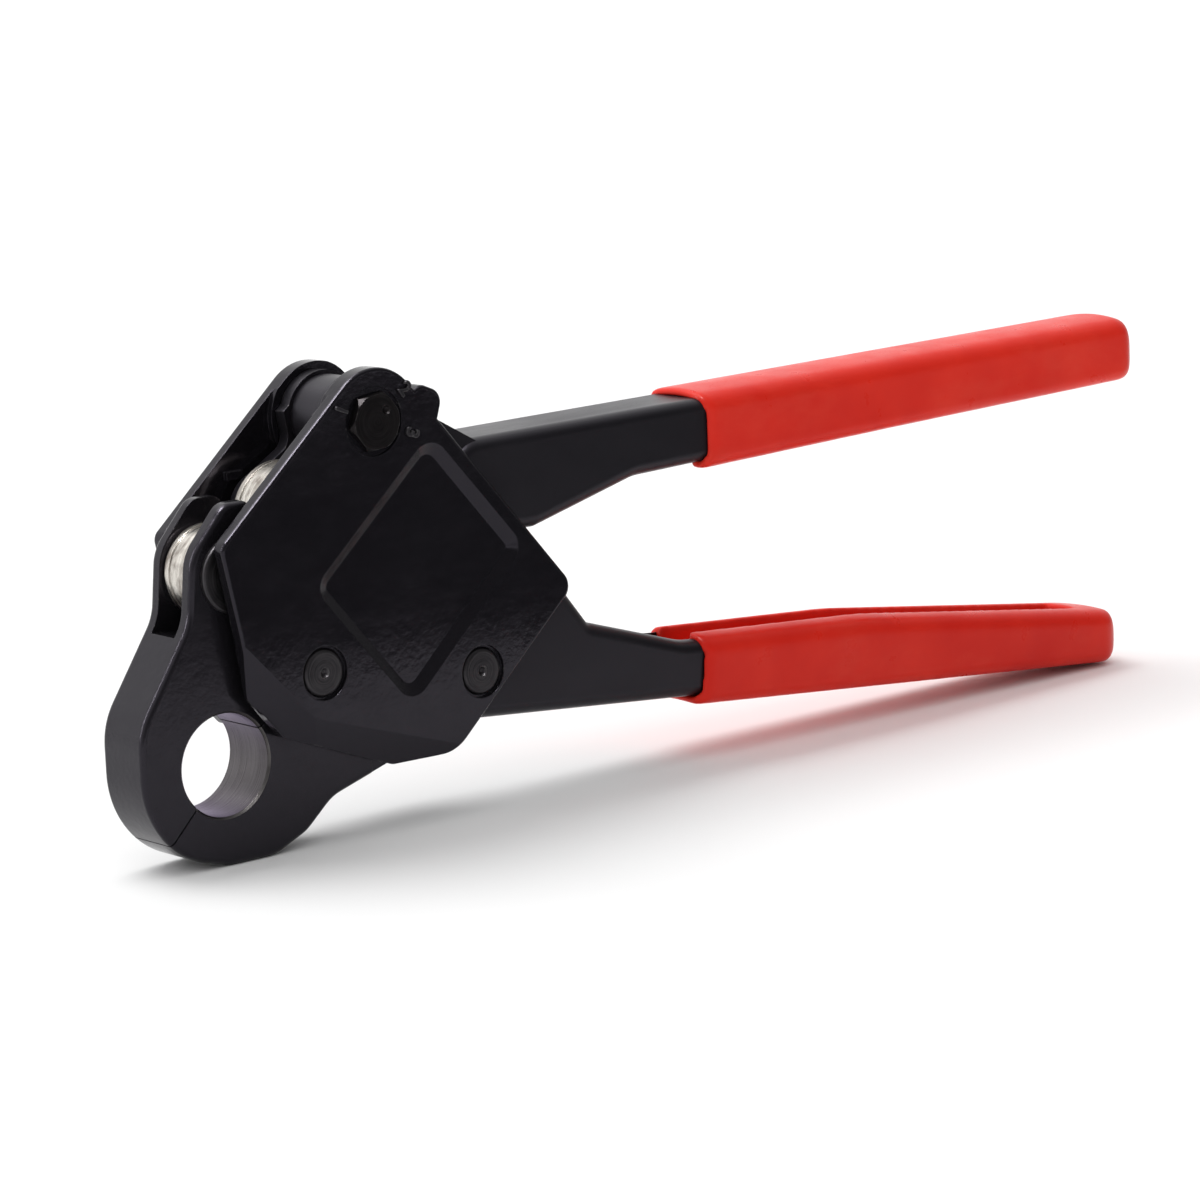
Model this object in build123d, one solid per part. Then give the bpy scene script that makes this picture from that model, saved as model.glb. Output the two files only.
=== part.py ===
"""Compact crimping tool for half-inch copper rings on flexible water pipe.

The tool stands on its edge: +X runs from the die ring to the grips, +Z is up and Y is
its thickness, so the tool is nearly the same on both sides of the plane y = 0. Shapes
are drawn in the tool plane, measured from the centre of the die bore, and moved to the
row frame when they are written: the origin is under the middle of the tool, on the floor.
"""
import os
from math import acos, atan2, cos, degrees, hypot, radians, sin, tan

from build123d import *

# Overall
LENGTH = 246.0
RING_RADIUS = 17.0
FLOOR_DROP = 17.6  # from the bore's centre down to the floor
BORE_X = RING_RADIUS - LENGTH / 2
BORE_Z = FLOOR_DROP

# Pivots and roller centres in the tool plane, from the bore's centre
JAW_PIVOT = (18.7, 13.5)
HANDLE_PIN = (53.3, 8.2)
BOLT = (31.7, 55.4)
JAW_ROLLER = (3.4, 32.4)
CAM_ROLLER = (19.4, 39.9)
DOWEL = (38.5, 4.0)

# Die and jaws
BORE_RADIUS = 8.95
BORE_CHAMFER = 0.4
JAW_HALF = 5.9  # half the jaws' thickness
SPLIT_ANGLE = 225.0  # where the die opens, about the bore's centre
SPLIT_GAP = 0.3
HUB_RADIUS = 9.0
HUB_CLEARANCE = 0.5
TONGUE_HALF = 2.7
CHEEK_INNER = 3.0
FORK_HALF_GAP = 3.4

# Side plates
PLATE_OUTER = 10.1
PLATE_INNER = 7.7
PLATE_EDGE = 0.6
BOLT_LAND = 9.4  # radius of the thicker land round the bolt
STOP_PAD = 0.7
BOLT_PAD = 1.1
POCKET_DEPTH = 1.2
POCKET_TAPER = 60
JAW_EDGE = 1.0
FLANGE_DROP = 1.7

# Pressed steel channels of the handles
CHANNEL_HALF = 7.4
CHANNEL_INNER = 5.0
WEB = 2.4
WEB_START = 50.2  # where the lower handle's web begins, behind the fixed jaw
EAR_OUTER = 6.4
EAR_INNER = 4.0
BEND_RADIUS = 2.4
GRIP_COAT = 1.3
GRIP_EDGE = 3.0

# Pins, rollers and the bolt
PIN_RADIUS = 4.3
PIN_END = 9.9
PIN_EDGE = 0.9
COUNTERSINK = 4.75
RUNNING = 0.05  # radial clearance of a turning fit
JAW_ROLLER_RADIUS = 8.0
CAM_ROLLER_RADIUS = 9.3
ROLLER_HALF = 3.1
JAW_AXLE_RADIUS = 3.0
CAM_AXLE_RADIUS = 3.5
JOURNAL_RADIUS = 5.0
BOLT_RADIUS = 4.5
HEX_FLATS = 9.4
HEX_HEIGHT = 1.5
HEX_TURN = 8.0
HEX_SEAT = 0.4  # how far the head is let into the plate
CLIP_GAP = 0.1
CLIP_THICKNESS = 0.6
WIRE_RADIUS = 0.6
COIL_RADIUS = 6.7
COIL_START = -60.0
COIL_FOOT = 7.5
SPRING_HOOK = (11.5, 25.0)


def slab(sketch, low, high):
    """A sketch in the tool plane made solid from y = low to y = high."""
    plane = Plane((0, high, 0), x_dir=(1, 0, 0), z_dir=(0, -1, 0))
    return extrude(plane * sketch, amount=high - low)


def disc(centre, radius):
    return Pos(*centre) * Circle(radius)


def cylinder(centre, radius, low, high):
    return slab(disc(centre, radius), low, high)


def washer(centre, inner, outer, low, high):
    return slab(disc(centre, outer) - disc(centre, inner), low, high)


def rounded_corner(before, corner, after, radius):
    """Start, middle and end of the arc that rounds a corner, or the corner three times."""
    if radius == 0:
        return corner, corner, corner
    toward_before = (before - corner).normalized()
    toward_after = (after - corner).normalized()
    half_angle = radians(toward_before.get_angle(toward_after)) / 2
    bisector = (toward_before + toward_after).normalized()
    setback = radius / tan(half_angle)
    middle = corner + bisector * (radius / sin(half_angle) - radius)
    return corner + toward_before * setback, middle, corner + toward_after * setback


def outline(*corners):
    """A closed outline from corners (x, z, corner radius), in straight lines and tangent arcs."""
    points = [Vector(x, z) for x, z, _ in corners]
    count = len(points)
    arcs = [
        rounded_corner(points[i - 1], points[i], points[(i + 1) % count], corners[i][2]) for i in range(count)
    ]
    edges = []
    for i, (start, middle, end) in enumerate(arcs):
        following = arcs[(i + 1) % count][0]
        if (middle - start).length > 0:
            edges.append(ThreePointArc(start, middle, end))
        if (following - end).dot(points[(i + 1) % count] - points[i]) < 0:
            raise ValueError(f"corners {corners[i]} and {corners[(i + 1) % count]} are too round")
        edges.append(Line(end, following))
    return make_face(edges)


def mirrored(shape):
    return mirror(shape, about=Plane.XZ)


def polar(centre, radius, angle):
    return (centre[0] + radius * cos(radians(angle)), centre[1] + radius * sin(radians(angle)))


def edges_at(shape, level):
    """Edges that lie wholly at y = level."""
    flat = [e for e in shape.edges() if abs(e.bounding_box().min.Y - level) < 1e-4]
    return ShapeList([e for e in flat if abs(e.bounding_box().max.Y - level) < 1e-4])


# ---------------------------------------------------------------- side plates


def plate_outline():
    return outline(
        (33.1, 68.8, 10.0),
        (75.2, 20.4, 3.0),
        (46.9, -5.2, 8.0),
        (33.0, -5.2, 3.0),
        (9.6, 3.7, 1.5),
        (3.2, 11.2, 3.0),
        (1.6, 22.0, 8.0),
        (-1.6, 38.0, 2.2),
    )


def plate_lug():
    """Small rounded lug on the plate's upper shoulder."""
    return outline(
        (38.0, 58.5, 0.5),
        (42.5, 60.6, 2.0),
        (47.2, 58.6, 2.6),
        (45.3, 52.5, 0.5),
        (40.0, 52.0, 0.5),
    )


def pocket():
    """Pressed diamond with sloping walls, cut from the plate's outer face."""
    diamond = outline((43.9, 52.0, 4.4), (63.9, 29.2, 3.4), (37.4, 4.6, 4.0), (17.2, 28.4, 3.4))
    face = Plane((0, -PLATE_OUTER, 0), x_dir=(1, 0, 0), z_dir=(0, -1, 0)) * diamond
    return extrude(face, amount=-POCKET_DEPTH, taper=POCKET_TAPER)


def flange_foot():
    """Lower edge of the plate, pressed in until it bears on the fixed jaw."""
    strip = outline((46.0, -2.2, 0.5), (45.0, -5.1, 0.5), (33.2, -5.1, 2.0), (10.6, 3.3, 0.0), (16.0, 3.0, 0.0))
    return slab(strip, -PLATE_INNER - 0.1, -JAW_HALF)


def sloping_cut(start, end, drop, reach):
    """Wedge that bevels the outer face on the right-hand side of the line start to end."""
    run = Vector(end[0] - start[0], 0, end[1] - start[1])
    side = run.cross(Vector(0, -1, 0)).normalized()
    origin = Vector(start[0], -PLATE_OUTER, start[1]) - run * 0.5
    tip = origin + side * reach
    points = [origin, tip, tip + Vector(0, drop, 0)]
    base = Face(Wire.make_polygon(points, close=True))
    return extrude(base, amount=2 * run.length, dir=run.normalized())


def side_plate():
    """Front plate; the back plate is its mirror image."""
    plate = slab(plate_outline() + plate_lug(), -PLATE_OUTER, -PLATE_INNER)
    plate = fillet(edges_at(plate, -PLATE_OUTER), PLATE_EDGE)
    plate += slab(plate_lug(), -PLATE_INNER - 0.2, -EAR_OUTER - 0.5)
    land = cylinder(BOLT, BOLT_LAND, -PLATE_INNER - 0.2, -PLATE_INNER + BOLT_PAD)
    plate += land & slab(plate_outline(), -PLATE_OUTER, 0)
    plate += slab(Pos(14.2, 46.7) * Rectangle(3.5, 1.5), -PLATE_INNER - 0.2, -PLATE_INNER + STOP_PAD)
    plate += flange_foot()
    plate -= pocket()
    plate -= sloping_cut((18.0, 5.4), (46.4, -3.6), FLANGE_DROP, 9.0)
    plate -= sloping_cut((1.5, 21.4), (18.2, 3.9), 1.7, 6.0)
    for centre in (JAW_PIVOT, HANDLE_PIN):
        plate -= cylinder(centre, PIN_RADIUS, -PLATE_OUTER - 1, 0)
        plate -= cylinder(centre, COUNTERSINK, -PLATE_OUTER - 1, -PLATE_OUTER + 0.8)
    plate -= cylinder(BOLT, BOLT_RADIUS + RUNNING, -PLATE_OUTER - 1, 0)
    plate -= cylinder(BOLT, HEX_FLATS / 2 + 1.3, -PLATE_OUTER - 1, -PLATE_OUTER + 0.4)
    return plate


# ---------------------------------------------------------------- jaws


def split_side(angle_low, angle_high):
    """Sector about the bore's centre, used to part the two jaws."""
    far = 60.0
    steps = 4
    angles = [angle_low + (angle_high - angle_low) * i / steps for i in range(steps + 1)]
    return make_face(Polyline((0, 0), *[polar((0, 0), far, a) for a in angles], close=True))


def pivot_angle():
    return degrees(atan2(JAW_PIVOT[1], JAW_PIVOT[0]))


def moving_jaw_outline():
    ring = Circle(RING_RADIUS) & split_side(pivot_angle(), SPLIT_ANGLE)
    tail = outline(
        (-17.0, 0.0, 0.0),
        (-17.0, 8.6, 13.0),
        (-5.9, 25.2, 9.0),
        (-4.7, 36.6, 8.0),
        (2.4, 44.6, 3.5),
        (8.4, 44.6, 2.6),
        (10.2, 33.0, 6.0),
        (25.6, 20.6, 4.0),
        (JAW_PIVOT[0], JAW_PIVOT[1], 0.0),
        (0.0, 0.0, 0.0),
    )
    return ring + tail + disc(JAW_PIVOT, HUB_RADIUS)


def rounded_slab(sketch):
    """A jaw's blank, with its outer corners rounded where they are long enough to show."""
    blank = slab(sketch, -JAW_HALF, JAW_HALF)
    rims = edges_at(blank, -JAW_HALF) + edges_at(blank, JAW_HALF)
    return fillet(ShapeList([e for e in rims if is_outer(e.center())]), JAW_EDGE)


def is_outer(point):
    """Whether a point on a jaw's rim lies outside the hub and the die, clear of the plates' inside."""
    from_bore = hypot(point.X, point.Z)
    from_hub = hypot(point.X - JAW_PIVOT[0], point.Z - JAW_PIVOT[1])
    return from_bore > BORE_RADIUS + 3 and from_hub > HUB_RADIUS + 3


def split_notch():
    """Straight clearance cut between the jaw tips, and from the bore to the hub."""
    tip = polar((0, 0), RING_RADIUS + 3, SPLIT_ANGLE)
    middle = ((tip[0]) / 2, (tip[1]) / 2)
    cut = Pos(*middle) * Rot(0, 0, SPLIT_ANGLE) * Rectangle(RING_RADIUS + 3, SPLIT_GAP)
    half = (JAW_PIVOT[0] / 2, JAW_PIVOT[1] / 2)
    reach = (JAW_PIVOT[0] ** 2 + JAW_PIVOT[1] ** 2) ** 0.5
    return cut + Pos(*half) * Rot(0, 0, pivot_angle()) * Rectangle(reach, SPLIT_GAP)


def die_bore(jaw):
    """Bore the jaw and break the bore's two rims."""
    jaw -= cylinder((0, 0), BORE_RADIUS, -20, 20)
    rims = [e for side in (-JAW_HALF, JAW_HALF) for e in edges_at(jaw, side)]
    rims = [e for e in rims if e.geom_type == GeomType.CIRCLE and abs(e.radius - BORE_RADIUS) < 1e-3]
    return chamfer(ShapeList(rims), BORE_CHAMFER)


def moving_jaw():
    jaw = die_bore(rounded_slab(moving_jaw_outline()) - slab(split_notch(), -20, 20))
    hub_space = disc(JAW_PIVOT, HUB_RADIUS + HUB_CLEARANCE)
    for low, high in ((TONGUE_HALF, JAW_HALF + 1), (-JAW_HALF - 1, -TONGUE_HALF)):
        jaw -= slab(hub_space, low, high)
    fork_gap = outline((-12, 23.2, 0), (9.0, 21.6, 3.0), (24.0, 27.0, 0.0), (24.0, 60.0, 0), (-12, 60.0, 0))
    jaw -= slab(fork_gap, -FORK_HALF_GAP, FORK_HALF_GAP)
    jaw -= cylinder(JAW_PIVOT, PIN_RADIUS + RUNNING, -20, 20)
    jaw -= cylinder(JAW_ROLLER, JAW_AXLE_RADIUS, -20, 20)
    jaw -= cylinder(SPRING_HOOK, WIRE_RADIUS, 2.0, 20)
    return jaw


def fixed_jaw_outline():
    ring = Circle(RING_RADIUS) & split_side(SPLIT_ANGLE, 360 + pivot_angle())
    tail = outline(
        (0.0, 0.0, 0.0),
        (-4.4, -16.4, 0.0),
        (0.2, -17.6, 6.0),
        (9.6, -17.6, 9.0),
        (16.6, -14.6, 8.0),
        (22.4, -9.6, 9.0),
        (44.0, -3.2, 4.0),
        (WEB_START, 1.9, 2.0),
        (59.0, 1.9, 3.0),
        (59.5, 15.2, 4.0),
        (30.0, 13.6, 2.0),
        (JAW_PIVOT[0] + 1.0, JAW_PIVOT[1] + 0.6, 0.0),
    )
    moving_side = split_side(pivot_angle(), 180.0)
    return ring + (tail - moving_side) + disc(JAW_PIVOT, HUB_RADIUS)


def fixed_jaw():
    jaw = die_bore(rounded_slab(fixed_jaw_outline()) - slab(split_notch(), -20, 20))
    hub_space = disc(JAW_PIVOT, HUB_RADIUS + HUB_CLEARANCE)
    jaw -= slab(hub_space, -CHEEK_INNER, CHEEK_INNER)
    upper_side = split_side(pivot_angle(), 180.0) - disc(JAW_PIVOT, HUB_RADIUS)
    jaw -= slab(upper_side, -20, 20)
    tail_side = Pos(56, 5) * Rectangle(50, 40)
    for low, high in ((CHANNEL_INNER, 20), (-20, -CHANNEL_INNER)):
        jaw -= slab(tail_side, low, high)
    for centre, radius in ((JAW_PIVOT, PIN_RADIUS), (HANDLE_PIN, PIN_RADIUS), (DOWEL, 2.0)):
        jaw -= cylinder(centre, radius, -20, 20)
    return jaw


# ---------------------------------------------------------------- handles


def channel(side_view, web_shift, corner_edges):
    """Pressed U-channel: a side view with its web left on the side away from web_shift."""
    block = slab(side_view, -CHANNEL_HALF, CHANNEL_HALF)
    block = fillet(corner_edges(block), BEND_RADIUS)
    return block - slab(Pos(0, web_shift) * side_view, -CHANNEL_INNER, CHANNEL_INNER)


def long_edges(test):
    """Edge picker: straight edges on the channel's flanks whose middle passes the test."""

    def pick(block):
        flank = edges_at(block, CHANNEL_HALF) + edges_at(block, -CHANNEL_HALF)
        return ShapeList([e for e in flank if e.length > 60 and test(e.center())])

    return pick


def upper_handle_outline():
    return outline(
        (44.0, 48.9, 6.0),
        (222.0, 51.3, 3.0),
        (222.0, 41.4, 3.0),
        (112.0, 38.0, 60.0),
        (93.5, 37.4, 12.0),
        (69.6, 31.4, 2.0),
        (59.0, 31.6, 3.0),
    )


def upper_ear_outline():
    neck = outline(
        (31.0, 63.2, 0.0),
        (60.0, 46.9, 2.0),
        (66.0, 33.5, 2.0),
        (50.0, 33.0, 6.0),
        (19.4, 32.4, 0.0),
        (14.6, 45.6, 0.0),
        (24.0, 51.2, 3.0),
        (23.0, 57.0, 0.0),
    )
    return neck + disc(BOLT, 7.9) + disc(CAM_ROLLER, 7.5)


def upper_handle():
    top = long_edges(lambda c: c.Z > 45)
    handle = channel(upper_handle_outline(), -WEB, top)
    for low in (-EAR_OUTER, EAR_INNER):
        handle += slab(upper_ear_outline(), low, low + EAR_OUTER - EAR_INNER)
    handle -= cylinder(BOLT, JOURNAL_RADIUS + RUNNING, -20, 20)
    handle -= cylinder(CAM_ROLLER, CAM_AXLE_RADIUS, -20, 20)
    return handle


def lower_handle_outline():
    return outline(
        (33.0, 0.7, 3.0),
        (217.0, -15.3, 3.0),
        (217.0, -7.4, 3.0),
        (150.0, 1.9, 90.0),
        (104.0, 5.2, 14.0),
        (81.3, 12.2, 1.5),
        (69.2, 27.4, 3.0),
        (60.0, 26.0, 6.0),
        (40.0, 13.0, 6.0),
        (33.0, 11.0, 3.0),
    )


def lower_handle():
    bottom = long_edges(lambda c: c.Z < -5)
    handle = channel(lower_handle_outline(), WEB, bottom)
    jaw_space = Pos(WEB_START - 15, -5) * Rectangle(30, 22)
    handle -= slab(jaw_space, -CHANNEL_INNER, CHANNEL_INNER)
    handle -= cylinder(HANDLE_PIN, PIN_RADIUS, -20, 20)
    handle -= cylinder(DOWEL, 2.0, -20, 20)
    return handle


def grip(steel, side_view, inside):
    """Dipped vinyl skin over the end of a channel, with the channel's own shape left out."""
    half = CHANNEL_HALF + GRIP_COAT
    skin = slab(side_view, -half, half)
    skin = fillet(edges_at(skin, half) + edges_at(skin, -half), GRIP_EDGE)
    skin -= slab(inside, -CHANNEL_INNER + GRIP_COAT, CHANNEL_INNER - GRIP_COAT)
    return skin - steel


def upper_grip(steel):
    shape = outline(
        (109.6, 51.2, 0.6),
        (229.0, 53.3, 6.5),
        (229.0, 40.3, 4.6),
        (160.0, 38.3, 200.0),
        (109.6, 36.6, 0.6),
    )
    hollow = outline((100.0, 45.9, 0), (216.0, 47.4, 2.0), (216.0, 30.0, 0), (100.0, 30.0, 0))
    return grip(steel, shape, hollow)


def lower_grip(steel):
    shape = outline(
        (106.0, -7.0, 0.6),
        (223.0, -17.6, 5.0),
        (223.0, -6.9, 5.0),
        (216.0, -5.6, 6.0),
        (150.5, 3.4, 90.0),
        (107.5, 6.4, 0.6),
    )
    hollow = outline((100.0, -1.2, 0), (212.0, -10.9, 2.0), (212.0, 30.0, 0), (100.0, 30.0, 0))
    return grip(steel, shape, hollow)


# ---------------------------------------------------------------- pins, rollers, bolt


def plain_pin(centre, radius, end):
    pin = cylinder(centre, radius, -end, end)
    pin = fillet(edges_at(pin, -end) + edges_at(pin, end), PIN_EDGE)
    for side in (-1, 1):
        dimple = Pos(centre[0], side * (end + 0.45), centre[1]) * Sphere(1.0)
        pin -= dimple
    return pin


def headed_axle(centre, radius, head_radius, seat, head):
    """Axle with a flat head over each outer face of what it joins."""
    axle = cylinder(centre, radius, -seat, seat)
    for low, high in ((-seat - head, -seat), (seat, seat + head)):
        cap = cylinder(centre, head_radius, low, high)
        outer = low if low < 0 else high
        axle += fillet(edges_at(cap, outer), head * 0.6)
    return axle


def roller(centre, radius, bore):
    """Hard roller with a shallow groove round its rim and broken corners."""
    body = washer(centre, bore, radius, -ROLLER_HALF, ROLLER_HALF)
    rims = [e for e in edges_at(body, -ROLLER_HALF) + edges_at(body, ROLLER_HALF) if e.radius > bore + 1]
    body = chamfer(ShapeList(rims), 0.5)
    return body - washer(centre, radius - 0.25, radius + 1, 0.9, 1.4)


def eccentric_bolt():
    """Hex-headed bolt: head outside the front plate, wide journal between the plates."""
    seat = -PLATE_OUTER + HEX_SEAT
    end = HEX_HEIGHT - seat
    groove = PLATE_OUTER + CLIP_GAP
    hexagon = Pos(*BOLT) * Rot(0, 0, HEX_TURN) * RegularPolygon(HEX_FLATS / 2, 6, major_radius=False)
    head = slab(hexagon, seat - HEX_HEIGHT, seat)
    cone = cylinder(BOLT, HEX_FLATS / 2 + 0.9, seat - HEX_HEIGHT, seat)
    head &= chamfer(edges_at(cone, seat - HEX_HEIGHT), 1.2, 0.8)
    bolt = head + cylinder(BOLT, BOLT_RADIUS, seat, end)
    bolt += cylinder(BOLT, JOURNAL_RADIUS, -EAR_OUTER - 0.1, EAR_OUTER + 0.1)
    bolt -= washer(BOLT, BOLT_RADIUS - 0.5, BOLT_RADIUS + 1, groove, groove + CLIP_THICKNESS)
    bolt -= Pos(BOLT[0] + 1.9, seat - HEX_HEIGHT - 0.3, BOLT[1] + 1.9) * Sphere(0.9)
    return bolt


def bolt_clip():
    """Open retaining ring in the bolt's groove, outside the back plate."""
    ring = disc(BOLT, 6.6) - disc(BOLT, BOLT_RADIUS - 0.5)
    ring -= Pos(BOLT[0], BOLT[1] - 6) * Rectangle(5.6, 9)
    return slab(ring, PLATE_OUTER + CLIP_GAP, PLATE_OUTER + CLIP_GAP + CLIP_THICKNESS)


def hub_sleeve():
    return washer(BOLT, JOURNAL_RADIUS + RUNNING, 7.2, -EAR_INNER, EAR_INNER)


def washer_pair(centre, inner, outer, low, high):
    near = washer(centre, inner, outer, -high, -low)
    return Compound(children=[near, mirrored(near)])


def jaw_spring():
    """One-turn hairpin spring round the pivot, its upper leg hooked into the moving jaw."""
    level = (JAW_HALF + PLATE_INNER) / 2
    reach = (SPRING_HOOK[0] - JAW_PIVOT[0], SPRING_HOOK[1] - JAW_PIVOT[1])
    coil_end = degrees(atan2(reach[1], reach[0]) + acos(COIL_RADIUS / hypot(*reach)))
    low_end = polar(JAW_PIVOT, COIL_RADIUS, COIL_START)
    top_end = polar(JAW_PIVOT, COIL_RADIUS, coil_end)
    foot = polar(low_end, COIL_FOOT, COIL_START - 90)
    rods = [(foot, low_end), (top_end, SPRING_HOOK)]
    ring = Torus(COIL_RADIUS, WIRE_RADIUS, major_angle=coil_end - COIL_START)
    spring = Pos(JAW_PIVOT[0], level, JAW_PIVOT[1]) * Rot(90, 0, 0) * Rot(0, 0, COIL_START) * ring
    for start, end in rods:
        run = Vector(end[0] - start[0], 0, end[1] - start[1])
        spring += Plane((start[0], level, start[1]), z_dir=run) * Cylinder(
            WIRE_RADIUS, run.length, align=(Align.CENTER, Align.CENTER, Align.MIN)
        )
    spring += Pos(SPRING_HOOK[0], level, SPRING_HOOK[1]) * Sphere(WIRE_RADIUS)
    return spring + cylinder(SPRING_HOOK, WIRE_RADIUS, 2.6, level)


def write(name, shape):
    """Move a piece from the tool plane's frame to the row frame and write it."""
    export_step(Pos(BORE_X, 0, BORE_Z) * shape, f"parts/{name}.step")


def main():
    os.makedirs("parts", exist_ok=True)
    front = side_plate()
    upper = upper_handle()
    lower = lower_handle()
    pieces = {
        "front_side_plate": front,
        "back_side_plate": mirrored(front),
        "fixed_jaw": fixed_jaw(),
        "moving_jaw": moving_jaw(),
        "jaw_pivot_pin": plain_pin(JAW_PIVOT, PIN_RADIUS, PIN_END),
        "handle_pin": plain_pin(HANDLE_PIN, PIN_RADIUS, PIN_END),
        "handle_dowel": cylinder(DOWEL, 2.0, -CHANNEL_HALF, CHANNEL_HALF),
        "pivot_washers": washer_pair(JAW_PIVOT, PIN_RADIUS, 5.6, JAW_HALF, PLATE_INNER),
        "upper_handle": upper,
        "lower_handle": lower,
        "upper_grip": upper_grip(upper),
        "lower_grip": lower_grip(lower),
        "eccentric_bolt": eccentric_bolt(),
        "bolt_clip": bolt_clip(),
        "hub_sleeve": hub_sleeve(),
        "jaw_spring": jaw_spring(),
        "jaw_roller": roller(JAW_ROLLER, JAW_ROLLER_RADIUS, JAW_AXLE_RADIUS + RUNNING),
        "jaw_roller_axle": headed_axle(JAW_ROLLER, JAW_AXLE_RADIUS, 6.6, JAW_HALF, 0.9),
        "cam_roller": roller(CAM_ROLLER, CAM_ROLLER_RADIUS, CAM_AXLE_RADIUS + RUNNING),
        "cam_roller_axle": headed_axle(CAM_ROLLER, CAM_AXLE_RADIUS, 4.8, EAR_OUTER, 0.8),
        "cam_roller_washers": washer_pair(CAM_ROLLER, CAM_AXLE_RADIUS, 5.6, ROLLER_HALF + 0.3, EAR_INNER),
    }
    for name, shape in pieces.items():
        write(name, shape)


main()
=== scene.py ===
"""Visual model of the compact ring crimping tool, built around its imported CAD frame."""
from math import cos, pi, radians, sin, sqrt

import bmesh
import bpy
from mathutils import Matrix, Vector


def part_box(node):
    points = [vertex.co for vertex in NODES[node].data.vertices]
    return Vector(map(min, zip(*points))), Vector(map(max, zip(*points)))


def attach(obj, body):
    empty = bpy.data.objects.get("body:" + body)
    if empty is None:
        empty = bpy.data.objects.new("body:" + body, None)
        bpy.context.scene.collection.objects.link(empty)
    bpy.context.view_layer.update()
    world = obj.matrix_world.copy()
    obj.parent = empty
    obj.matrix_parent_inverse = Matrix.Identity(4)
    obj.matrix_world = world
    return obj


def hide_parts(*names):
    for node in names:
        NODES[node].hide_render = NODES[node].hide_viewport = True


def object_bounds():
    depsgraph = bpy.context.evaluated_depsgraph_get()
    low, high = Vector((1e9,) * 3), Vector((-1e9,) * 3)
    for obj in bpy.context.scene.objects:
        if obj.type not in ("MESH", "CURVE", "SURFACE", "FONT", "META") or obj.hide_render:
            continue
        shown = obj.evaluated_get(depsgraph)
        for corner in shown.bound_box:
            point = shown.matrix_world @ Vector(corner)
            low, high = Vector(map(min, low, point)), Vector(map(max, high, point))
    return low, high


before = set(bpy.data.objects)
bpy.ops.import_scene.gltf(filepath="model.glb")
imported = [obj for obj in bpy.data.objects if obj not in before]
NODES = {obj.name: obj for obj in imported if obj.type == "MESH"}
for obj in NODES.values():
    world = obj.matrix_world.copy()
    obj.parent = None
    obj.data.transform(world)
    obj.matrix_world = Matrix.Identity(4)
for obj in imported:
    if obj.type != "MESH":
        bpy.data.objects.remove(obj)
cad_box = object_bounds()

MM = 0.001

# The die: its bore's radius, where its middle is from the jaw pivot, and how far out its steel is bare.
BORE_RADIUS = 8.95 * MM
JAW_PIVOT_FROM_BORE = Vector((18.7 * MM, 0, 13.5 * MM))
BARE_RIM = 0.40 * MM
BARE_FADE = 0.06 * MM

# Black finishes: how far the paint rounds an edge, how wide its rubbed edges are, and its reflections' tint.
EDGE_ROUND = 0.25 * MM
RUBBED_EDGE = 0.5 * MM
BLACK_GLOSS = 0.3
VIOLET = (0.90, 0.83, 1.0, 1.0)

# Grips: how near points are welded, the remesh's cell, the smoothing passes, how far the back falls
# from its middle to its sides, and the radius of the end's corners seen from above.
WELD = 0.02 * MM
VINYL_CELL = 0.45 * MM
VINYL_PASSES = 14
CROWN = 1.3 * MM
END_ROUND = 7.0 * MM

# Setting marks: height, how far their mid-plane stands off the plate, half their depth between bevels,
# the bevel, and the digit's share of the font's size.
MARK_TALL = 2.6 * MM
MARK_PROUD = 0.08 * MM
MARK_HALF_DEPTH = 0.3 * MM
MARK_BEVEL = 0.16 * MM
DIGIT_HEIGHT = 0.7

# Studio, in metres: half the floor's side, and how far the dark card lies above the floor.
FLOOR_HALF = 8.0
CARD_LIFT = 0.5 * MM


def middle(node):
    low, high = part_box(node)
    return (low + high) / 2


BORE = middle("jaw_pivot_pin") - JAW_PIVOT_FROM_BORE


# ---------------------------------------------------------------- node helpers


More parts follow.
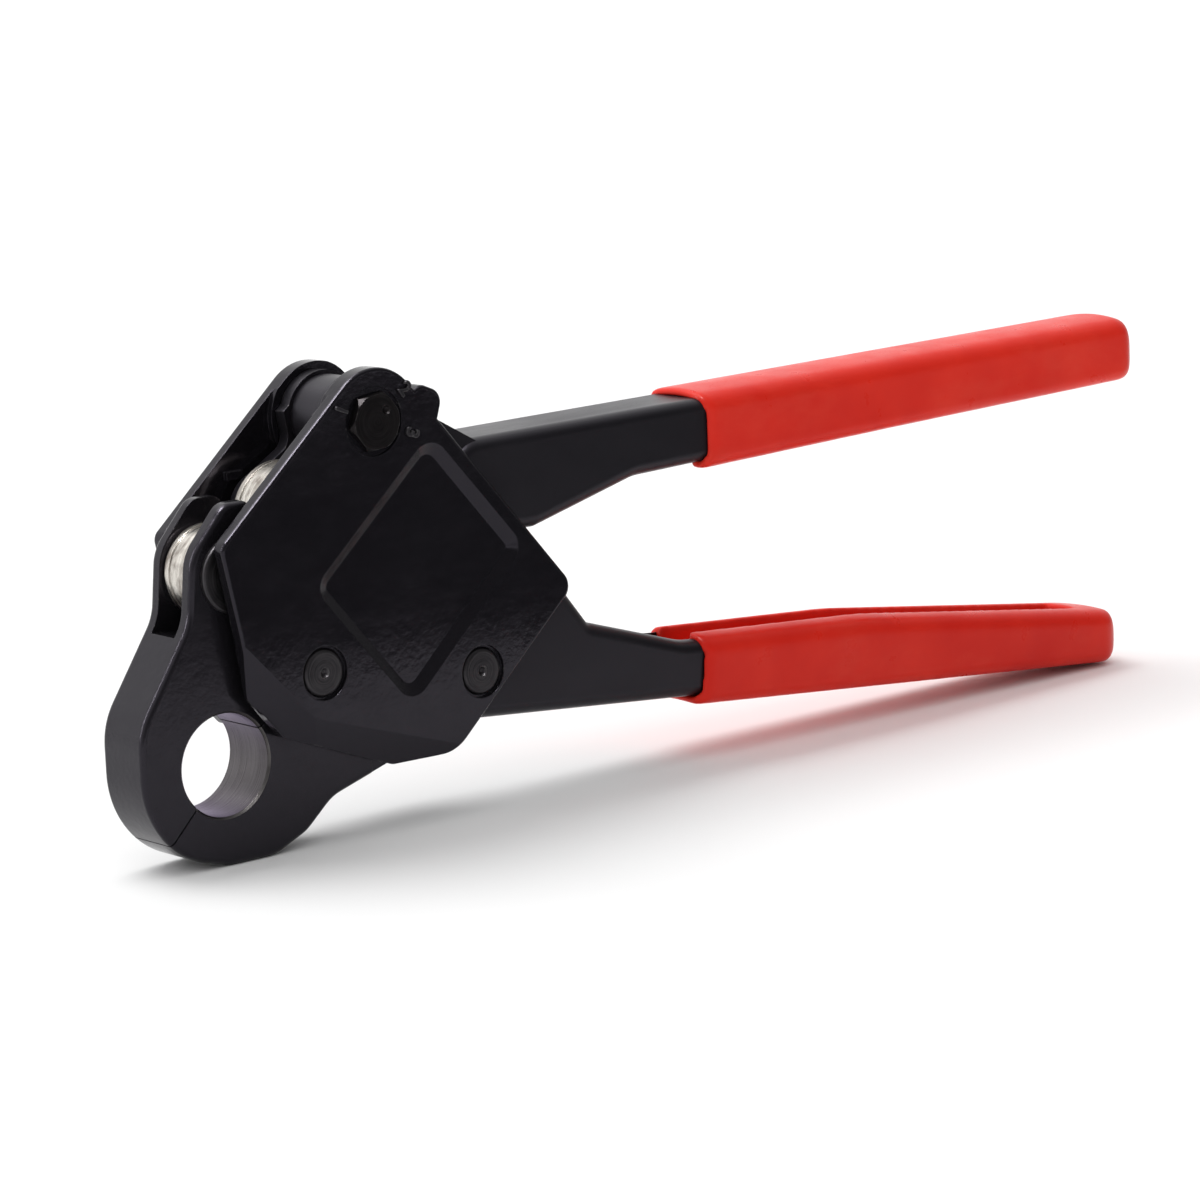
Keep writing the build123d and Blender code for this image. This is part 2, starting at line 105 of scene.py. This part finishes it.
class Finish:
    """One material's node tree around its Principled shader, with short calls for each kind of node."""

    def __init__(self, name, **sockets):
        self.material = bpy.data.materials.new(name)
        self.material.use_nodes = True
        self.tree = self.material.node_tree
        self.shader = self.tree.nodes["Principled BSDF"]
        for socket, value in sockets.items():
            self.shader.inputs[socket.replace("_", " ")].default_value = value
        self.place = self.node("ShaderNodeTexCoord").outputs["Object"]

    def node(self, kind, inputs=(), **settings):
        made = self.tree.nodes.new(kind)
        for key, value in settings.items():
            setattr(made, key, value)
        for key, value in dict(inputs).items():
            self.feed(made.inputs[key], value)
        return made

    def feed(self, socket, value):
        if isinstance(value, bpy.types.NodeSocket):
            self.tree.links.new(value, socket)
        else:
            socket.default_value = value

    def set(self, socket, value):
        self.feed(self.shader.inputs[socket], value)

    def math(self, operation, a, b=0.0):
        return self.node("ShaderNodeMath", {0: a, 1: b}, operation=operation).outputs[0]

    def vector(self, operation, a, b):
        made = self.node("ShaderNodeVectorMath", {0: a, 1: b}, operation=operation)
        return made.outputs["Value" if operation == "DOT_PRODUCT" else "Vector"]

    def noise(self, size, detail=3.0, roughness=0.5, stretch=(1, 1, 1)):
        """Noise whose blobs are about size across, in metres."""
        scaled = self.vector("MULTIPLY", self.place, tuple(s / size for s in stretch))
        inputs = {"Vector": scaled, "Scale": 1.0, "Detail": detail, "Roughness": roughness}
        return self.node("ShaderNodeTexNoise", inputs).outputs["Fac"]

    def span(self, value, low, high, to_low=0.0, to_high=1.0):
        """Value carried from the range low to high onto to_low to to_high, and kept inside it."""
        inputs = {0: value, 1: low, 2: high, 3: to_low, 4: to_high}
        return self.node("ShaderNodeMapRange", inputs, clamp=True).outputs[0]

    def blend(self, factor, a, b):
        """Colour a where factor is 0 and b where it is 1."""
        made = self.node("ShaderNodeMix", data_type="RGBA")
        self.feed(made.inputs[0], factor)
        for key, value in ((6, a), (7, b)):
            self.feed(made.inputs[key], (*value, 1.0) if isinstance(value, tuple) else value)
        return made.outputs[2]

    def mix(self, factor, a, b):
        """Number a where factor is 0 and b where it is 1."""
        made = self.node("ShaderNodeMix", data_type="FLOAT")
        for key, value in ((0, factor), (2, a), (3, b)):
            self.feed(made.inputs[key], value)
        return made.outputs[0]

    def edges(self, radius):
        """1 where the surface turns within radius of a point, and 0 on flats."""
        bevel = self.node("ShaderNodeBevel", {"Radius": radius}, samples=4).outputs[0]
        normal = self.node("ShaderNodeNewGeometry").outputs["Normal"]
        turn = self.math("SUBTRACT", 1.0, self.vector("DOT_PRODUCT", bevel, normal))
        return self.span(turn, 0.02, 0.2)

    def bump(self, *layers):
        """Bump from (height 0 to 1, depth in metres) layers, over slightly rounded edges."""
        normal = self.node("ShaderNodeBevel", {"Radius": EDGE_ROUND}, samples=4).outputs[0]
        for height, depth in layers:
            inputs = {"Height": height, "Distance": depth, "Strength": 1.0, "Normal": normal}
            normal = self.node("ShaderNodeBump", inputs).outputs[0]
        self.set("Normal", normal)

    def about(self, centre):
        """Radius, y, cosine and sine of the surface's place, round a Y axis through centre."""
        offset = self.vector("SUBTRACT", self.place, tuple(centre))
        x, y, z = self.node("ShaderNodeSeparateXYZ", {0: offset}).outputs
        radius = self.math("SQRT", self.math("ADD", self.math("MULTIPLY", x, x), self.math("MULTIPLY", z, z)))
        safe = self.math("MAXIMUM", radius, 1e-5)
        return radius, y, self.math("DIVIDE", x, safe), self.math("DIVIDE", z, safe)

    def turning_marks(self, centre, pitch, length=0.6):
        """Fine circular marks, as a lathe leaves them, which break up along their length."""
        radius, y, cosine, sine = self.about(centre)
        joined = self.node("ShaderNodeCombineXYZ")
        for key, value in (("X", radius), ("Y", y)):
            self.feed(joined.inputs[key], self.math("DIVIDE", value, pitch))
        self.feed(joined.inputs["Z"], self.math("MULTIPLY", cosine, length))
        inputs = {"Vector": joined.outputs[0], "W": self.math("MULTIPLY", sine, length)}
        inputs.update({"Scale": 1.0, "Detail": 2.0, "Roughness": 0.6})
        return self.node("ShaderNodeTexNoise", inputs, noise_dimensions="4D").outputs["Fac"]


# ---------------------------------------------------------------- finishes


def enamel(name, dark, light, gloss, peel, wear_and_highlight):
    """Glossy black enamel with a fine orange-peel and rubbed edges, which a large last argument spreads into
    painted highlight.
    """
    f = Finish(name, Specular_IOR_Level=BLACK_GLOSS, Specular_Tint=VIOLET)
    clouds = f.noise(14 * MM, 4)
    # Rubbed patches along the edges; given a large last argument, they spread into lighter edges that are
    # painted highlight.
    patches = f.span(f.noise(2.2 * MM, 5, 0.7), 0.62 - wear_and_highlight, 0.72)
    rubbed = f.math("MULTIPLY", f.edges(RUBBED_EDGE), patches)
    f.set("Base Color", f.blend(rubbed, f.blend(clouds, dark, light), (0.16, 0.155, 0.15)))
    f.set("Metallic", f.math("MULTIPLY", rubbed, 0.7))
    smears = f.noise(6 * MM, 3, 0.6, stretch=(1, 1, 2.5))
    specks = f.span(f.noise(0.35 * MM, 2), 0.68, 0.8, 0, 0.12)
    f.set("Roughness", f.math("ADD", f.span(smears, 0.3, 0.7, gloss, gloss + 0.1), specks))
    f.bump((f.noise(3.0 * MM, 2, 0.4), peel * 1.6), (f.noise(1.0 * MM, 2, 0.5), peel * 1.5))
    return f


def jaw_enamel():
    """Enamel that stops at the die: the bore's wall and rims are bare ground steel."""
    f = enamel("jaw_enamel", (0.005, 0.0046, 0.0058), (0.010, 0.0093, 0.011), 0.16, 0.020 * MM, 0.04)
    radius = f.about(BORE)[0]
    rim = BORE_RADIUS + BARE_RIM
    bare = f.span(radius, rim, rim + BARE_FADE, 1, 0)
    marks = f.turning_marks(BORE, 0.12 * MM)
    stain = f.noise(4 * MM, 4)
    steel = f.blend(f.span(marks, 0.3, 0.7), (0.05, 0.046, 0.046), (0.125, 0.119, 0.119))
    steel = f.blend(f.span(stain, 0.5, 0.75, 0, 0.4), steel, (0.045, 0.039, 0.037))
    ground = f.span(marks, 0.3, 0.7, 0.24, 0.4)
    for socket, over in (("Base Color", steel), ("Metallic", 1.0), ("Roughness", ground)):
        under = f.shader.inputs[socket].links[0].from_socket
        f.set(socket, (f.blend if socket == "Base Color" else f.mix)(bare, under, over))
    return f


def handle_paint():
    """Satin black paint over pressed steel."""
    f = Finish("handle_paint", Specular_IOR_Level=BLACK_GLOSS, Specular_Tint=VIOLET)
    clouds = f.noise(20 * MM, 4)
    rubbed = f.math("MULTIPLY", f.edges(RUBBED_EDGE), f.span(f.noise(3 * MM, 5, 0.7), 0.56, 0.7))
    paint_colour = f.blend(clouds, (0.004, 0.0037, 0.0046), (0.008, 0.0075, 0.009))
    f.set("Base Color", f.blend(rubbed, paint_colour, (0.14, 0.135, 0.13)))
    f.set("Metallic", f.math("MULTIPLY", rubbed, 0.6))
    sheen = f.span(f.noise(9 * MM, 4, stretch=(0.4, 1, 1)), 0.3, 0.7, 0.3, 0.42)
    f.set("Roughness", f.math("ADD", sheen, f.span(f.noise(0.5 * MM, 3), 0.6, 0.8, 0, 0.1)))
    f.bump((f.noise(1.6 * MM, 2), 0.012 * MM), (f.noise(0.25 * MM, 2), 0.004 * MM))
    return f


def red_vinyl():
    """Dipped vinyl: slightly uneven, semi-gloss, and paler in the patches that hands rub."""
    f = Finish("red_vinyl", Specular_IOR_Level=0.12)
    pool = f.noise(18 * MM, 3)
    base = f.blend(f.span(pool, 0.3, 0.7), (0.66, 0.018, 0.010), (0.76, 0.030, 0.016))
    rub = f.span(f.noise(11 * MM, 5, 0.65, stretch=(0.5, 1, 1)), 0.52, 0.8, 0, 0.35)
    f.set("Base Color", f.blend(rub, base, (0.80, 0.075, 0.045)))
    fine = f.noise(0.6 * MM, 3)
    sheen = f.span(f.noise(7 * MM, 4), 0.3, 0.7, 0.26, 0.38)
    f.set("Roughness", f.math("ADD", sheen, f.span(fine, 0.55, 0.8, 0, 0.1)))
    f.bump((f.noise(9 * MM, 2), 0.10 * MM), (fine, 0.010 * MM))
    return f


def dark_steel(name, centre, dark, light, rubbed_colour):
    """Black-oxide steel with turned end faces and rubbed edges."""
    f = Finish(name, Metallic=0.9)
    marks = f.turning_marks(centre, 0.16 * MM)
    tone = f.math("ADD", f.math("MULTIPLY", marks, 0.7), f.math("MULTIPLY", f.noise(3 * MM, 4), 0.3))
    rubbed = f.math("MULTIPLY", f.edges(0.35 * MM), f.span(f.noise(1.2 * MM, 4), 0.4, 0.65))
    f.set("Base Color", f.blend(rubbed, f.blend(f.span(tone, 0.35, 0.65), dark, light), rubbed_colour))
    f.set("Roughness", f.span(tone, 0.3, 0.7, 0.3, 0.5))
    f.bump((marks, 0.012 * MM), (f.noise(0.4 * MM, 3), 0.006 * MM))
    return f


def roller_steel(name, centre):
    """Nickel plate with turned rings and dull smears in scattered patches."""
    f = Finish(name, Metallic=1.0)
    marks = f.turning_marks(centre, 0.22 * MM, 0.5)
    smear = f.span(f.noise(3.5 * MM, 5, 0.65, stretch=(1, 2.2, 1)), 0.42, 0.66)
    bright = f.blend(f.span(marks, 0.3, 0.7), (0.46, 0.43, 0.39), (0.72, 0.69, 0.64))
    f.set("Base Color", f.blend(smear, bright, (0.20, 0.175, 0.155)))
    f.set("Roughness", f.math("ADD", f.span(marks, 0.3, 0.7, 0.18, 0.34), f.math("MULTIPLY", smear, 0.12)))
    f.bump((marks, 0.014 * MM), (f.noise(1.5 * MM, 4, 0.7), 0.02 * MM))
    return f


def plain_steel(name, centre):
    """Zinc-plated steel, a little cloudy."""
    f = Finish(name, Metallic=1.0)
    cloud = f.noise(2.5 * MM, 4)
    marks = f.turning_marks(centre, 0.3 * MM)
    f.set("Base Color", f.blend(f.span(cloud, 0.3, 0.7), (0.38, 0.38, 0.385), (0.58, 0.575, 0.57)))
    f.set("Roughness", f.span(marks, 0.3, 0.7, 0.28, 0.44))
    f.bump((marks, 0.010 * MM), (cloud, 0.02 * MM))
    return f


def paint(node, finish):
    data = NODES[node].data
    data.materials.clear()
    data.materials.append(finish.material)


# ---------------------------------------------------------------- grips


def add_object(name, data):
    made = bpy.data.objects.new(name, data)
    bpy.context.scene.collection.objects.link(made)
    return made


def final_mesh(piece):
    """The mesh of a piece with its modifiers, or of a text, as it stands."""
    bpy.context.view_layer.update()
    return bpy.data.meshes.new_from_object(piece.evaluated_get(bpy.context.evaluated_depsgraph_get()))


def soft_copy(node, name, cell, passes):
    """A copy of a node's mesh with its corners melted, as dipped vinyl has."""
    data = NODES[node].data.copy()
    welded = bmesh.new()
    welded.from_mesh(data)
    bmesh.ops.remove_doubles(welded, verts=welded.verts, dist=WELD)
    welded.to_mesh(data)
    welded.free()
    piece = add_object(name, data)
    data.materials.clear()
    remesh = piece.modifiers.new("remesh", "REMESH")
    remesh.mode, remesh.voxel_size = "VOXEL", cell
    smooth = piece.modifiers.new("smooth", "SMOOTH")
    smooth.factor, smooth.iterations = 0.5, passes
    made = final_mesh(piece)
    piece.modifiers.clear()
    piece.data = made
    made.shade_smooth()
    return piece


def crown(piece):
    """Round a grip's end as seen from above, and crown its back."""
    corners = [vertex.co for vertex in piece.data.vertices]
    low = Vector(min(corner[i] for corner in corners) for i in range(3))
    high = Vector(max(corner[i] for corner in corners) for i in range(3))
    half = high.y
    for vertex in piece.data.vertices:
        past = min(max(0.0, vertex.co.x - high.x + END_ROUND), END_ROUND)
        vertex.co.y *= 1 - (END_ROUND - sqrt(END_ROUND ** 2 - past ** 2)) / half
        across = vertex.co.y / half
        height = (vertex.co.z - low.z) / (high.z - low.z)
        vertex.co.z -= CROWN * across * across * height


def dipped_grip(node, body, finish):
    grip = soft_copy(node, node + "_vinyl", VINYL_CELL, VINYL_PASSES)
    crown(grip)
    grip.data.materials.append(finish.material)
    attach(grip, body)
    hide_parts(node)


# ---------------------------------------------------------------- every piece's finish

plate_finish = enamel("plate_enamel", (0.004, 0.0037, 0.0048), (0.008, 0.0075, 0.009), 0.09, 0.016 * MM, 0.02)
# Setting marks: lighter enamel with widely lightened edges, partly rubbed paint and partly painted highlight
# so the raised digits look lit.
mark_finish_painted_highlight = enamel("mark_enamel_painted_highlight", (0.010, 0.0095, 0.011), (0.020, 0.019, 0.021), 0.09, 0.008 * MM, 0.4)
jaw_finish = jaw_enamel()
handle_finish = handle_paint()
vinyl = red_vinyl()
PIN_COLOURS = (0.020, 0.0185, 0.021), (0.060, 0.056, 0.060), (0.26, 0.25, 0.25)
BOLT_COLOURS = (0.008, 0.007, 0.0075), (0.020, 0.0175, 0.0185), (0.08, 0.075, 0.076)
for node in ("front_side_plate", "back_side_plate"):
    paint(node, plate_finish)
for node in ("fixed_jaw", "moving_jaw"):
    paint(node, jaw_finish)
for node in ("upper_handle", "lower_handle", "hub_sleeve"):
    paint(node, handle_finish)
for node, body in (("upper_grip", "lever"), ("lower_grip", "frame")):
    dipped_grip(node, body, vinyl)
for node in ("jaw_pivot_pin", "handle_pin", "handle_dowel", "jaw_roller_axle", "cam_roller_axle"):
    paint(node, dark_steel(node + "_oxide", middle(node), *PIN_COLOURS))
paint("eccentric_bolt", dark_steel("bolt_oxide", middle("eccentric_bolt"), *BOLT_COLOURS))
for node in ("jaw_roller", "cam_roller"):
    paint(node, roller_steel(node + "_nickel", middle(node)))
for node in ("pivot_washers", "cam_roller_washers", "bolt_clip", "jaw_spring"):
    paint(node, plain_steel(node + "_zinc", middle(node)))


# ---------------------------------------------------------------- raised marks on the plate


def raised_mark(name, character, radius, angle, finish):
    """One generic setting mark cast into the front plate beside the adjusting bolt."""
    text = bpy.data.curves.new(name, "FONT")
    text.body, text.size = character, MARK_TALL / DIGIT_HEIGHT
    text.align_x, text.align_y = "CENTER", "CENTER"
    text.extrude, text.bevel_depth, text.bevel_resolution = MARK_HALF_DEPTH, MARK_BEVEL, 3
    letter = add_object(name + "_text", text)
    data = final_mesh(letter)
    bpy.data.objects.remove(letter)
    mark = add_object(name, data)
    bolt = middle("eccentric_bolt")
    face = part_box("front_side_plate")[0].y
    turn = radians(angle)
    place = Vector((bolt.x + radius * cos(turn), face - MARK_PROUD, bolt.z + radius * sin(turn)))
    lean = Matrix.Rotation(turn - pi / 2, 4, "Z")
    data.transform(Matrix.Translation(place) @ Matrix.Rotation(pi / 2, 4, "X") @ lean)
    data.materials.clear()
    data.materials.append(finish.material)
    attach(mark, "frame")


for name, character, radius, angle in (
    ("mark_low", "1", 7.4, 158),
    ("mark_middle", "2", 8.3, 36),
    ("mark_high", "3", 8.4, -20),
):
    raised_mark(name, character, radius * MM, angle, mark_finish_painted_highlight)


# ---------------------------------------------------------------- floor, light and camera


def flat_sheet(name, corners, height, finish):
    """A flat many-cornered sheet lying at height, which isn't part of the tool."""
    mesh = bmesh.new()
    mesh.faces.new([mesh.verts.new((x, y, 0.0)) for x, y in corners])
    data = bpy.data.meshes.new(name)
    mesh.to_mesh(data)
    mesh.free()
    data.materials.append(finish.material)
    sheet = add_object(name, data)
    sheet.location.z = height
    return sheet


def floor():
    """A wide pale sheet under the tool."""
    paper = Finish("paper", Specular_IOR_Level=0.1)
    paper.set("Base Color", paper.blend(paper.noise(0.25, 2), (0.84, 0.84, 0.84), (0.86, 0.86, 0.86)))
    paper.set("Roughness", paper.span(paper.noise(0.1, 2), 0.3, 0.7, 0.75, 0.85))
    half = FLOOR_HALF
    corners = ((-half, -half), (half, -half), (half, half), (-half, half))
    flat_sheet("floor_sheet", corners, cad_box[0][2], paper)


def dark_card():
    """A dark card lying in front of the tool, seen only in reflections, to deepen the blacks."""
    felt = Finish("felt", Specular_IOR_Level=0.0)
    felt.set("Base Color", felt.blend(felt.noise(0.02, 3), (0.05, 0.05, 0.055), (0.09, 0.09, 0.095)))
    felt.set("Roughness", felt.span(felt.noise(0.01, 2), 0.3, 0.7, 0.8, 1.0))
    corners = ((-0.12, -0.16), (0.0, -0.6), (1.6, -0.6), (1.6, 0.0), (0.55, 0.0), (0.08, -0.12))
    card = flat_sheet("dark_card", corners, cad_box[0][2] + CARD_LIFT, felt)
    for ray in ("camera", "diffuse", "transmission", "volume_scatter", "shadow"):
        setattr(card, "visible_" + ray, False)


def lamp(name, place, target, width, height, power, in_reflections):
    """A soft rectangular lamp, either seen only in reflections or left out of them."""
    data = bpy.data.lights.new(name, "AREA")
    data.shape = "RECTANGLE"
    data.size, data.size_y, data.energy = width, height, power
    light = add_object(name, data)
    light.location = place
    light.rotation_euler = (Vector(target) - Vector(place)).to_track_quat("-Z", "Y").to_euler()
    light.visible_diffuse = not in_reflections
    light.visible_glossy = in_reflections


def sun(strength, softness, source):
    """Broad even light from the direction source, softness degrees across."""
    data = bpy.data.lights.new("sun", "SUN")
    data.energy, data.angle = strength, radians(softness)
    add_object("sun", data).rotation_euler = (-Vector(source)).to_track_quat("-Z", "Y").to_euler()


def sky(front, back):
    """Soft surroundings, brighter behind and above the tool than in front of it."""
    world = bpy.data.worlds.new("studio")
    world.use_nodes = True
    tree = world.node_tree
    place = tree.nodes.new("ShaderNodeTexCoord").outputs["Generated"]
    tilt = tree.nodes.new("ShaderNodeVectorMath")
    tilt.operation = "DOT_PRODUCT"
    tree.links.new(place, tilt.inputs[0])
    tilt.inputs[1].default_value = (-0.3, 0.75, 0.58)
    ramp = tree.nodes.new("ShaderNodeMapRange")
    ramp.interpolation_type = "SMOOTHSTEP"
    tree.links.new(tilt.outputs["Value"], ramp.inputs[0])
    for key, value in ((1, -0.4), (2, 0.5), (3, front), (4, back)):
        ramp.inputs[key].default_value = value
    background = tree.nodes["Background"]
    background.inputs["Color"].default_value = (1.0, 1.0, 1.0, 1.0)
    tree.links.new(ramp.outputs[0], background.inputs["Strength"])
    bpy.context.scene.world = world


def camera(place, yaw, pitch, roll, lens):
    """The camera at place, with its angles in degrees and its lens in millimetres."""
    data = bpy.data.cameras.new("camera")
    data.lens, data.sensor_width = lens, 36.0
    data.clip_start, data.clip_end = 0.01, 50.0
    turns = ((-yaw, "Z"), (90 - pitch, "X"), (roll, "Z"))
    yawed, pitched, rolled = (Matrix.Rotation(radians(angle), 3, axis) for angle, axis in turns)
    made = add_object("camera", data)
    made.matrix_world = Matrix.Translation(place) @ (yawed @ pitched @ rolled).to_4x4()
    bpy.context.scene.camera = made


floor()
dark_card()
sky(0.14, 1.15)
sun(1.3, 38.0, (-0.12, 0.42, 0.9))
lamp("front_fill", (-0.5, -1.1, 0.9), (0, 0, 0.03), 1.2, 0.9, 2.2, in_reflections=False)
lamp("softbox_top", (-0.28, -0.10, 0.75), (-0.05, 0, 0.05), 0.28, 0.35, 11.0, in_reflections=True)
lamp("strip_left", (-0.75, 0.30, 0.40), (-0.05, 0, 0.05), 0.08, 0.6, 3.0, in_reflections=True)
camera(Vector((-0.50809, -0.57693, 0.17383)), 40.44, 10.60, -2.18, 126.0)
bpy.context.scene.view_settings.view_transform = "Standard"
